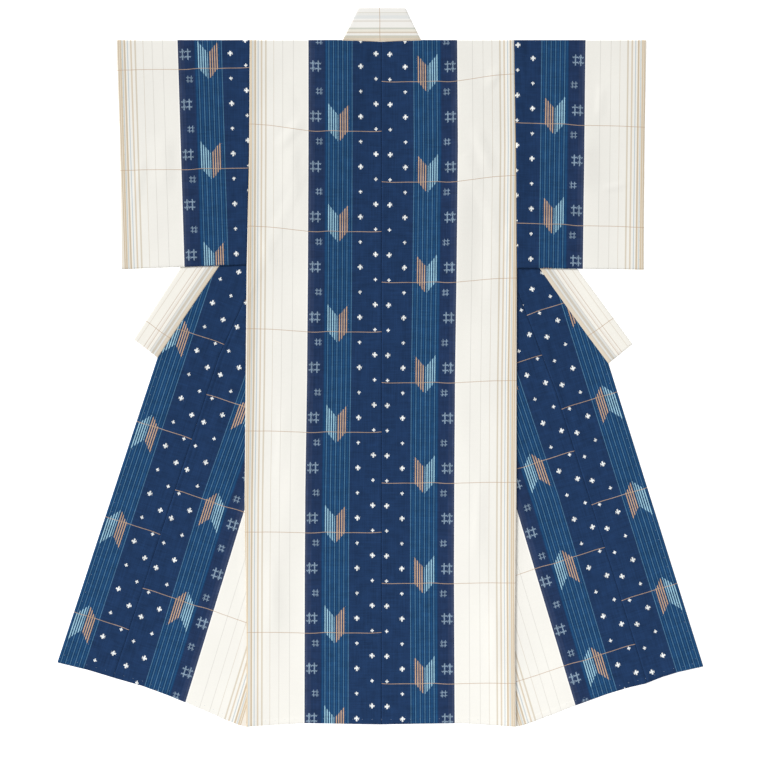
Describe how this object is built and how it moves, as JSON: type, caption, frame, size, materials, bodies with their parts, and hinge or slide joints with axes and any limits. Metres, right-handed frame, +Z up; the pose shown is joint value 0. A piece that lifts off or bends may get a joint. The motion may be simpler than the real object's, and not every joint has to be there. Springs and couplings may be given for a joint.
{
  "type": "kimono",
  "caption": "Unlined kimono laid out flat with its back upwards: straight body lengths, fronts turned out to the sides, square sleeves and a band collar.",
  "frame": {"origin": "on the surface that the kimono lies on, under the middle of its outline", "axes": "+Z up from the surface; +Y from the hem towards the collar; +X to the right when it is seen from above with the collar at the top"},
  "size_m": [1.5178, 1.6894, 0.0082],
  "materials": {
    "striped_cloth": "plain-woven cloth in broad indigo and cream stripes, with fine tan and blue lines",
    "collar_cloth": "the cream part of the same cloth, with fine tan and blue lines, sewn double"
  },
  "bodies": {
    "root": {"body_left": "striped_cloth", "body_right": "striped_cloth", "okumi_left": "striped_cloth", "okumi_right": "striped_cloth", "sleeve_left": "striped_cloth", "sleeve_right": "striped_cloth", "collar": "collar_cloth"}
  },
  "joints": []
}
